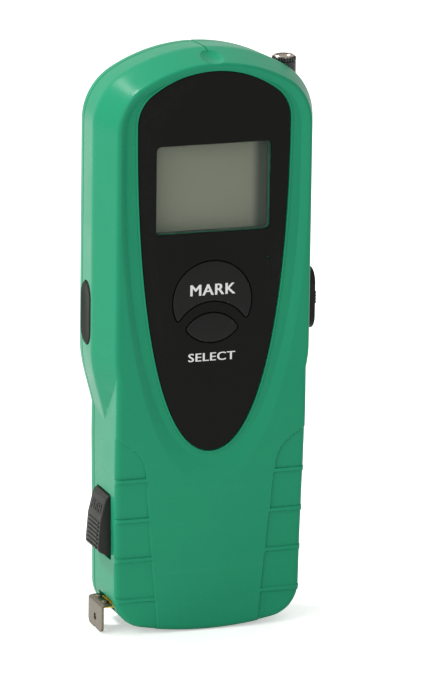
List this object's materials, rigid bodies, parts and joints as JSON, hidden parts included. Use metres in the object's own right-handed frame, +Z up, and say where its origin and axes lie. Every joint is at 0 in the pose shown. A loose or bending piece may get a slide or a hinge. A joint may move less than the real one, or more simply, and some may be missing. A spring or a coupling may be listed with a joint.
{
  "type": "stud finder",
  "caption": "Hand-held wall detector with display, push keys, a laser barrel and a pull-out tape measure with thumb lock.",
  "frame": {"origin": "middle of the flat sensing back, on the centre line half way up the case", "axes": "+Z up along the case from the foot to the head, +Y out of the flat back towards the wall, +X to the user's right with the face towards -Y"},
  "size_m": [0.0773, 0.0278, 0.19],
  "materials": {
    "case_green": "fine moulded satin green",
    "panel_black": "satin black sheet",
    "window_clear": "clear, polished",
    "key_dark": "moulded charcoal",
    "display_grey": "reflective liquid crystal, olive grey",
    "rubber_grey": "conductive rubber",
    "tinned_steel": "tinned sheet",
    "board_green": "solder mask",
    "coil_copper": "enamelled copper wire",
    "ring_brass": "turned and knurled",
    "cell_wrap": "printed metal can",
    "lead_red": "insulated wire",
    "lead_black": "insulated wire",
    "drum_ivory": "moulded nylon",
    "blade_yellow": "enamelled spring steel",
    "hook_steel": "plated, lightly worn",
    "screw_steel": "zinc plated"
  },
  "bodies": {
    "root": {"front_case": "case_green", "rear_case": "case_green", "face_panel": "panel_black", "lcd_lens": "window_clear", "lcd_frame": "key_dark", "lcd_glass": "display_grey", "zebra_strip": "rubber_grey", "mark_switch": "tinned_steel", "select_switch": "tinned_steel", "scan_switch": "tinned_steel", "laser_switch_plate": "key_dark", "laser_switch_body": "tinned_steel", "main_board": "board_green", "controller_chip": "panel_black", "buzzer": "panel_black", "sensor_board": "board_green", "metal_coil": "coil_copper", "laser_barrel": "panel_black", "laser_lens_ring": "ring_brass", "laser_lens": "window_clear", "battery": "cell_wrap", "battery_snap": "key_dark", "battery_lead_red": "lead_red", "battery_lead_black": "lead_black", "reel_post": "tinned_steel", "lock_pin": "tinned_steel", "case_screw_1": "screw_steel", "case_screw_2": "screw_steel", "case_screw_3": "screw_steel", "case_screw_4": "screw_steel", "case_screw_5": "screw_steel", "board_screw_1": "screw_steel", "board_screw_2": "screw_steel", "board_screw_3": "screw_steel", "board_screw_4": "screw_steel"},
    "mark_key": {"mark_button": "key_dark"},
    "select_key": {"select_button": "key_dark"},
    "scan_key": {"scan_button": "key_dark"},
    "laser_thumb": {"laser_slider": "key_dark"},
    "battery_cover": {"battery_door": "case_green"},
    "reel": {"tape_drum": "drum_ivory", "tape_coil": "blade_yellow", "reel_spring": "tinned_steel"},
    "tape_end": {"tape_blade": "blade_yellow", "end_hook": "hook_steel", "hook_rivet_1": "hook_steel", "hook_rivet_2": "hook_steel"},
    "lock_lever": {"tape_lock": "key_dark"}
  },
  "joints": [
    {"name": "mark_press", "type": "slide", "parent": "root", "child": "mark_key", "axis": [0, 1, 0], "range_m": [0, 0.0006], "stiffness_N_per_m": 1500},
    {"name": "select_press", "type": "slide", "parent": "root", "child": "select_key", "axis": [0, 1, 0], "range_m": [0, 0.0006], "stiffness_N_per_m": 1500},
    {"name": "scan_press", "type": "slide", "parent": "root", "child": "scan_key", "axis": [1, 0, 0], "range_m": [0, 0.001], "stiffness_N_per_m": 1500},
    {"name": "laser_slide", "type": "slide", "parent": "root", "child": "laser_thumb", "axis": [0, 0, 1], "range_m": [-0.002, 0.002]},
    {"name": "door_hinge", "type": "hinge", "parent": "root", "child": "battery_cover", "pos_m": [0, -0.0002, -0.0421], "axis": [-1, 0, 0], "range_deg": [0, 60]},
    {"name": "tape_pull", "type": "slide", "parent": "root", "child": "tape_end", "axis": [-1, 0, 0], "range_m": [0, 1]},
    {"name": "reel_spin", "type": "hinge", "parent": "root", "child": "reel", "pos_m": [0.004, -0.0142, -0.068], "axis": [0, 1, 0], "range_deg": [0, 3279]},
    {"name": "lock_press", "type": "hinge", "parent": "root", "child": "lock_lever", "pos_m": [-0.0282, -0.0138, -0.051], "axis": [0, -1, 0], "range_deg": [0, 6.8], "stiffness_Nm_per_rad": 0.3}
  ],
  "couplings": [
    {"joint": "reel_spin", "follows": "tape_pull", "rad_per_m": 57.14}
  ]
}
